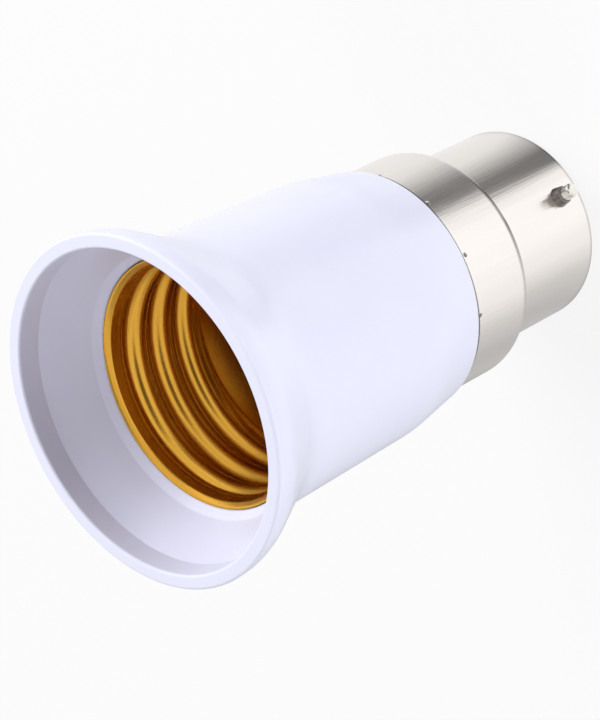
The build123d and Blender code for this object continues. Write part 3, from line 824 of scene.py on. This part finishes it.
def cap_shade_and_dirt(points):
    """Dirt and painted shade in the stakes; painted shade below the seam, where it reaches lower
    between the pins than at them; and a painted dark reflection on the shoulder's edge, strongest
    above the pins."""
    pits = STAKE_DIRT_AND_SHADE * ease(2 * (1 - stake_distance(points) / STAKE_DIRT_AND_SHADE_RADIUS))
    sideways = (points[:, 1] / np.hypot(points[:, 0], points[:, 1])) ** 2
    seam_depth = SEAM_SHADE_LEAST + (SEAM_SHADE_MOST - SEAM_SHADE_LEAST) * sideways
    seam = SEAM_PAINTED_SHADE * ease((points[:, 2] - seam_z + seam_depth) / SEAM_SHADE_FADE)
    edge = ease(2 - 2 * np.abs(points[:, 2] - EDGE_REFLECTION_Z) / EDGE_REFLECTION_WIDTH)
    edge = EDGE_PAINTED_REFLECTION * edge * (1 - sideways) ** EDGE_REFLECTION_POWER
    return np.maximum(np.maximum(pits, seam), edge)


def staked_turns():
    """Turns round the cap, crowded towards the stakes: in each sector a place s, from minus a half to
    a half, moves to an even share of s plus the other share of four times s cubed."""
    share = np.arange(STAKE_COLUMNS) / STAKE_COLUMNS - 0.5
    sector = stake_pitch * (STAKE_EVEN_SHARE * share + (1 - STAKE_EVEN_SHARE) * 4 * share**3)
    stakes = STAKE_TURN + stake_pitch * np.arange(STAKES)
    return np.radians(np.add.outer(stakes, sector).ravel())


stake_pitch = 360 / STAKES
skirt_radius = box_mm("bayonet_cap")[1][0]
skirt_bore = skirt_radius - CAP_SHEET
barrel_radius = mount_mm("bayonet_barrel", "r_mm")
barrel_bore = barrel_radius - CAP_SHEET
cap_opening = barrel_radius - CAP_FLANGE_WIDTH
stake_z = seam_z - STAKE_BELOW_EDGE
stake_rows = stake_z + STAKE_ROW_SPAN * np.linspace(-0.5, 0.5, STAKE_ROWS)
cap_outline = rounded_outline([
    (cap_opening, 0, CAP_EDGE_ROUND),
    (barrel_radius, 0, CAP_END_ROUND),
    (barrel_radius, CAP_SHOULDER_Z, CAP_NECK_ROUND),
    (skirt_radius, CAP_SHOULDER_Z, CAP_SHOULDER_ROUND),
    *[(skirt_radius, z, 0) for z in stake_rows],
    (skirt_radius, seam_z, CAP_EDGE_ROUND),
    (skirt_bore, seam_z, CAP_EDGE_ROUND),
    *[(skirt_bore, z, 0) for z in stake_rows[::-1]],
    (skirt_bore, CAP_SHOULDER_Z + CAP_SHEET, CAP_SHOULDER_ROUND - CAP_SHEET),
    (barrel_bore, CAP_SHOULDER_Z + CAP_SHEET, CAP_NECK_ROUND + CAP_SHEET),
    (barrel_bore, CAP_SHEET, CAP_END_ROUND - CAP_SHEET),
    (cap_opening, CAP_SHEET, CAP_EDGE_ROUND),
], support=0.03)
nickel = lined_metal(
    "drawn nickel", NICKEL, NICKEL_DRAWN,
    stretch=(800, 800, 25), roughness=(0.18, 0.26), line_depth=0.03, dirt_and_shade_colour=CAP_SHADE_AND_DIRT,
)
cap_mesh = grid_mesh("bayonet_cap_drawn", staked(turned(cap_outline, staked_turns())))
soil(cap_mesh, cap_shade_and_dirt)
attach(show(cap_mesh, nickel, "bayonet_cap"), "adapter")


# Bayonet pins
# Two stepped pins, turned from brass rod and nickel plated. Each is riveted through the barrel's
# wall, with its collar against the outside and its spread head against the inside. Painted shade and
# a painted dark reflection darken the collar.
PIN_COLLAR_RADIUS = 1.15
PIN_COLLAR_END_RADIUS = 0.97
PIN_COLLAR_HEIGHT = 1.0
PIN_SHANK_RADIUS = 0.65
PIN_HEAD_RADIUS = 1.4
PIN_HEAD_HEIGHT = 0.5
PIN_HEAD_ROUND = 0.15
PIN_COLLAR_ROUND = 0.12
PIN_FOOT_ROUND = 0.05
PIN_TIP_ROUND = 0.5
PIN_COLUMNS = 96
# Painted shade and a painted dark reflection on the pin's collar.
COLLAR_PAINTED_SHADE = 0.78
COLLAR_SHADE_REACH = 1.4
COLLAR_SHADE_FADE = 0.45
PIN_PAINTED_SHADE = (0.06, 0.045, 0.04, 1)
PIN_NICKEL = (0.84, 0.82, 0.78, 1)
PIN_NICKEL_DULL = (0.68, 0.65, 0.61, 1)


def pin_surface(outline, side):
    """The pin's outline carried round its own axis, which lies along X at the pin's height. What
    lies on or inside the barrel follows its curve: x falls by R - root(R squared - y squared)."""
    turns = full_turn(PIN_COLUMNS)
    radius, along = outline[:, :1], outline[:, 1:]
    y = radius * np.cos(turns)
    sag = barrel_radius - np.sqrt(barrel_radius**2 - y**2)
    x = along - np.where(along <= barrel_radius, sag, 0)
    return np.stack([side * x, side * y, pin_z + radius * np.sin(turns)], -1)


def pin_painted_shade(points):
    """Painted shade and dark reflection on the collar, which fades out on the foot of the tip, where
    the outline has a row.
    """
    along = np.abs(points[:, 0]) - barrel_radius
    return COLLAR_PAINTED_SHADE * ease((COLLAR_SHADE_REACH - along) / COLLAR_SHADE_FADE)


pin_z = middle_mm("bayonet_pin_front")[2]
pin_tip_x = box_mm("bayonet_pin_front")[1][0]
pin_tip_radius = mount_mm("bayonet_pin_front", "r_mm")
pin_collar_x = barrel_radius + PIN_COLLAR_HEIGHT
pin_outline = rounded_outline([
    (0, barrel_bore - PIN_HEAD_HEIGHT, 0),
    (PIN_HEAD_RADIUS, barrel_bore - PIN_HEAD_HEIGHT, PIN_HEAD_ROUND),
    (PIN_HEAD_RADIUS, barrel_bore, 0),
    (PIN_SHANK_RADIUS, barrel_bore, 0),
    (PIN_SHANK_RADIUS, barrel_radius, 0),
    (PIN_COLLAR_RADIUS, barrel_radius, 0),
    (PIN_COLLAR_END_RADIUS, pin_collar_x, PIN_COLLAR_ROUND),
    (pin_tip_radius, pin_collar_x, PIN_FOOT_ROUND),
    (pin_tip_radius, barrel_radius + COLLAR_SHADE_REACH, 0),
    (pin_tip_radius, pin_tip_x, PIN_TIP_ROUND),
    (0, pin_tip_x, 0),
], CLOSE_SUPPORT)
turned_nickel = lined_metal(
    "turned nickel", PIN_NICKEL, PIN_NICKEL_DULL,
    stretch=(5000, 300, 300), roughness=(0.14, 0.24), line_depth=0.0006, dirt_and_shade_colour=PIN_PAINTED_SHADE,
)
for end, side in (("front", 1), ("back", -1)):
    pin_mesh = grid_mesh(f"bayonet_pin_{end}_turned", pin_surface(pin_outline, side), ring=False)
    soil(pin_mesh, pin_painted_shade)
    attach(show(pin_mesh, turned_nickel, f"bayonet_pin_{end}"), "adapter")


# Floor
# A plain white studio floor under the cap's end. The camera and gloss see it mostly as an even
# white, and the rest of what they see is its lit surface, which keeps the object's shadow.
FLOOR_SIZE = 3000
FLOOR_WHITE = (0.74, 0.74, 0.74, 1)
FLOOR_EVEN_SHARE = 0.85


def seen_directly(tree):
    """1 for the rays that show a background, those of the camera, of gloss and of glass; else 0."""
    rays = tree.nodes.new("ShaderNodeLightPath")
    seen = rays.outputs["Is Camera Ray"]
    for other in ("Is Glossy Ray", "Is Transmission Ray"):
        either = tree.nodes.new("ShaderNodeMath")
        either.operation = "MAXIMUM"
        tree.links.new(seen, either.inputs[0])
        tree.links.new(rays.outputs[other], either.inputs[1])
        seen = either.outputs[0]
    return seen


floor_paint, floor_tree, floor_shader = new_material("studio floor")
floor_shader.inputs["Base Color"].default_value = FLOOR_WHITE
floor_shader.inputs["Roughness"].default_value = 1
floor_shader.inputs["Specular IOR Level"].default_value = 0
floor_even = floor_tree.nodes.new("ShaderNodeEmission")
floor_share = floor_tree.nodes.new("ShaderNodeMath")
floor_share.operation = "MULTIPLY"
floor_share.inputs[1].default_value = FLOOR_EVEN_SHARE
floor_mix = floor_tree.nodes.new("ShaderNodeMixShader")
floor_tree.links.new(seen_directly(floor_tree), floor_share.inputs[0])
floor_tree.links.new(floor_share.outputs[0], floor_mix.inputs[0])
floor_tree.links.new(floor_shader.outputs[0], floor_mix.inputs[1])
floor_tree.links.new(floor_even.outputs[0], floor_mix.inputs[2])
floor_tree.links.new(floor_mix.outputs[0], floor_tree.nodes["Material Output"].inputs["Surface"])
floor_mesh = bpy.data.meshes.new("studio_floor")
floor_corners = np.array([(-1, -1, 0), (1, -1, 0), (1, 1, 0), (-1, 1, 0)]) * FLOOR_SIZE / 2 * MM
floor_mesh.from_pydata(floor_corners, [], [(0, 1, 2, 3)])
floor_mesh.materials.append(floor_paint)
floor = in_scene("studio_floor", floor_mesh)


# Glowing card
# A round card on the floor that glows and that only gloss sees, above all the plating's, which shows
# what lies around it: its glow is white in front, with a dark stripe beside it and grey behind, and a
# painted shadow of the cap's end in the middle. Its rim stands up as a bowl's.
CARD_CENTRE_X = 6.0
CARD_HEIGHT = 0.2
CARD_RADIUS = 300
CARD_WALL = 250
CARD_COLUMNS = 180
CARD_SHADES = (
    (-168, 0.16), (-150, 0.46), (-128, 0.59), (-108, 0.56), (-84, 0.71), (-60, 1.04), (-24, 1.21),
    (12, 1.21), (30, 1.08), (43, 0.22), (58, 0.21), (73, 0.58), (90, 0.96), (112, 0.98), (150, 0.97),
    (168, 0.3),
)
# The card's glow falls inside this radius: a painted shadow of the cap's end.
CARD_SHADOW = 0.6
CARD_SHADOW_EDGE = 10.9
CARD_SHADOW_FADE = 0.7


def only_gloss_sees(piece):
    """Hides a piece of the studio from all rays but those that gloss sends out."""
    piece.visible_camera = False
    piece.visible_diffuse = False
    piece.visible_transmission = False
    piece.visible_shadow = False


card_material, card_tree, card_shader = new_material("graded card")
card_tree.nodes.remove(card_shader)
card_place = card_tree.nodes.new("ShaderNodeTexCoord")
card_shift = card_tree.nodes.new("ShaderNodeVectorMath")
card_shift.operation = "SUBTRACT"
card_shift.inputs[1].default_value = (CARD_CENTRE_X * MM, 0, 0)
card_split = card_tree.nodes.new("ShaderNodeSeparateXYZ")
card_turn = card_tree.nodes.new("ShaderNodeMath")
card_turn.operation = "ARCTAN2"
card_share = card_tree.nodes.new("ShaderNodeMapRange")
card_share.inputs["From Min"].default_value = -pi
card_share.inputs["From Max"].default_value = pi
card_ramp = card_tree.nodes.new("ShaderNodeValToRGB")
card_reach = card_tree.nodes.new("ShaderNodeVectorMath")
card_reach.operation = "LENGTH"
card_shadow = card_tree.nodes.new("ShaderNodeMapRange")
card_shadow.inputs["From Min"].default_value = CARD_SHADOW_EDGE * MM
card_shadow.inputs["From Max"].default_value = (CARD_SHADOW_EDGE + CARD_SHADOW_FADE) * MM
card_shadow.inputs["To Min"].default_value = CARD_SHADOW
card_glow = card_tree.nodes.new("ShaderNodeEmission")
while len(card_ramp.color_ramp.elements) < len(CARD_SHADES):
    card_ramp.color_ramp.elements.new(1)
for stop, (turn, shade) in zip(card_ramp.color_ramp.elements, CARD_SHADES):
    stop.position = turn / 360 + 0.5
    stop.color = (shade, shade, shade, 1)
for given, taken in (
    (card_place.outputs["Object"], card_shift.inputs[0]),
    (card_shift.outputs[0], card_split.inputs[0]),
    (card_split.outputs["Y"], card_turn.inputs[0]),
    (card_split.outputs["X"], card_turn.inputs[1]),
    (card_turn.outputs[0], card_share.inputs["Value"]),
    (card_share.outputs["Result"], card_ramp.inputs["Fac"]),
    (card_ramp.outputs["Color"], card_glow.inputs["Color"]),
    (card_place.outputs["Object"], card_reach.inputs[0]),
    (card_reach.outputs["Value"], card_shadow.inputs["Value"]),
    (card_shadow.outputs["Result"], card_glow.inputs["Strength"]),
    (card_glow.outputs[0], card_tree.nodes["Material Output"].inputs["Surface"]),
):
    card_tree.links.new(given, taken)
card_outline = np.array([(0, CARD_HEIGHT), (CARD_RADIUS, CARD_HEIGHT), (CARD_RADIUS, CARD_WALL)])
card_mesh = grid_mesh("graded_card", turned(card_outline, full_turn(CARD_COLUMNS)), ring=False)
card_mesh.materials.append(card_material)
card = in_scene("graded_card", card_mesh)
only_gloss_sees(card)


# Studio light
# An even white room, a soft key panel beside the mouth, a weak fill across from it, and low panels
# that light the outside only. Metal and gloss show the room and not the panels. A lamp's level is
# the share of white that it gives a surface facing it.
ROOM_WHITE = (1, 1, 1, 1)
ROOM_LEVEL = 0.33
LAMP_DISTANCE = 600
KEY_TURN, KEY_LIFT, KEY_LEVEL, KEY_SIZE = 110, 43, 1.0, 450
FILL_TURN, FILL_LIFT, FILL_LEVEL, FILL_SIZE = -100, 40, 0.22, 300
LOW_PANELS = ((-8, 0.5), (-100, 0.16))
LOW_WIDTH, LOW_HEIGHT = 400, 55

world = bpy.data.worlds.new("studio")
bpy.context.scene.world = world
world.use_nodes = True
world_tree = world.node_tree
room = world_tree.nodes["Background"]
room.inputs["Color"].default_value = ROOM_WHITE
room.inputs["Strength"].default_value = ROOM_LEVEL
room_seen = world_tree.nodes.new("ShaderNodeBackground")
room_seen.inputs["Color"].default_value = ROOM_WHITE
room_mix = world_tree.nodes.new("ShaderNodeMixShader")
world_tree.links.new(seen_directly(world_tree), room_mix.inputs[0])
world_tree.links.new(room.outputs[0], room_mix.inputs[1])
world_tree.links.new(room_seen.outputs[0], room_mix.inputs[2])
world_tree.links.new(room_mix.outputs[0], world_tree.nodes["World Output"].inputs["Surface"])


def panel_lamp(name, turn, lift, level, width, height):
    """A panel that faces the object's middle from a turn about the axis and a lift above the floor.
    Its power is the level times the square of pi times the distance."""
    panel = bpy.data.lights.new(name, "AREA")
    panel.shape = "RECTANGLE"
    panel.size = width * MM
    panel.size_y = height * MM
    panel.energy = level * (pi * LAMP_DISTANCE * MM) ** 2
    lamp = in_scene(name, panel)
    lamp.visible_glossy = False
    towards = Vector((1, 0, 0))
    towards.rotate(Matrix.Rotation(radians(-lift), 3, "Y"))
    towards.rotate(Matrix.Rotation(radians(turn), 3, "Z"))
    middle = (cad_low + cad_high) / 2
    lamp.matrix_world = (
        Matrix.Translation(middle + towards * LAMP_DISTANCE * MM)
        @ towards.to_track_quat("Z", "Y").to_matrix().to_4x4()
    )


panel_lamp("key", KEY_TURN, KEY_LIFT, KEY_LEVEL, KEY_SIZE, KEY_SIZE)
panel_lamp("fill", FILL_TURN, FILL_LIFT, FILL_LEVEL, FILL_SIZE, FILL_SIZE)
for number, (low_turn, low_level) in enumerate(LOW_PANELS):
    panel_lamp(f"low_{number}", low_turn, 0, low_level, LOW_WIDTH, LOW_HEIGHT)
bpy.context.scene.view_settings.view_transform = "Standard"


# Camera
# The photograph's viewing angle: its turn about the axis, its lift above the floor and its roll,
# the point it aims at and the distance to that point. The image is taken as 600 by 720.
VIEW_TURN, VIEW_LIFT, VIEW_ROLL = -1.4, 41.15, -117.33
VIEW_DISTANCE = 280.2
VIEW_AIM = (-4.09, -2.41, 34.71)
VIEW_LENS = 132.8
VIEW_SENSOR = 36
VIEW_NEAR, VIEW_FAR = 10, 20000

camera = in_scene("camera", bpy.data.cameras.new("camera"))
camera.matrix_world = (
    Matrix.Translation(Vector(VIEW_AIM) * MM)
    @ Matrix.Rotation(radians(VIEW_TURN + 90), 4, "Z")
    @ Matrix.Rotation(radians(90 - VIEW_LIFT), 4, "X")
    @ Matrix.Translation((0, 0, VIEW_DISTANCE * MM))
    @ Matrix.Rotation(radians(VIEW_ROLL), 4, "Z")
)
camera.data.lens = VIEW_LENS
camera.data.sensor_width = VIEW_SENSOR
camera.data.clip_start = VIEW_NEAR * MM
camera.data.clip_end = VIEW_FAR * MM
bpy.context.scene.camera = camera


# Mirrored strips
# Two arched strips that only gloss sees. A black one overhead, like the opening in the top of a light
# tent, gives the gold thread its dark streaks. A bright one beside the mouth, like the key panel's
# face, lights up the shell's lip.
STRIP_DISTANCE = 280
STRIP_STEPS = 24
BLACK_TURNS = (-122, 58)
BLACK_LIFTS = (64, 87)
STRIP_BLACK = (0.015, 0.014, 0.013, 1)
BRIGHT_TURNS = (76, 150)
BRIGHT_LIFTS = (10, 34)
BRIGHT_BASE = (0, 0, 0, 1)
BRIGHT_GLOW = (1, 1, 1, 1)
BRIGHT_LEVEL = 1.5


def mirrored_strip(name, turns, lifts, paint):
    """A strip of a sphere about the shell's lip, between two turns about the axis and two lifts."""
    heights = np.radians(lifts)
    edges = STRIP_DISTANCE * np.stack([np.cos(heights), np.sin(heights)], -1)
    points = turned(edges, np.radians(np.linspace(*turns, STRIP_STEPS + 1))) + (0, 0, lip_z)
    low = np.arange(STRIP_STEPS)
    high = low + STRIP_STEPS + 1
    quads = np.stack([low, low + 1, high + 1, high], -1)
    mesh = bpy.data.meshes.new(name)
    mesh.from_pydata(points.reshape(-1, 3) * MM, [], quads.tolist())
    mesh.materials.append(paint)
    strip = in_scene(name, mesh)
    only_gloss_sees(strip)


black_paint, _, black_shader = new_material("black strip")
black_shader.inputs["Base Color"].default_value = STRIP_BLACK
black_shader.inputs["Roughness"].default_value = 1
mirrored_strip("black_strip", BLACK_TURNS, BLACK_LIFTS, black_paint)
bright_paint, _, bright_shader = new_material("bright strip")
bright_shader.inputs["Base Color"].default_value = BRIGHT_BASE
bright_shader.inputs["Emission Color"].default_value = BRIGHT_GLOW
bright_shader.inputs["Emission Strength"].default_value = BRIGHT_LEVEL
mirrored_strip("bright_strip", BRIGHT_TURNS, BRIGHT_LIFTS, bright_paint)
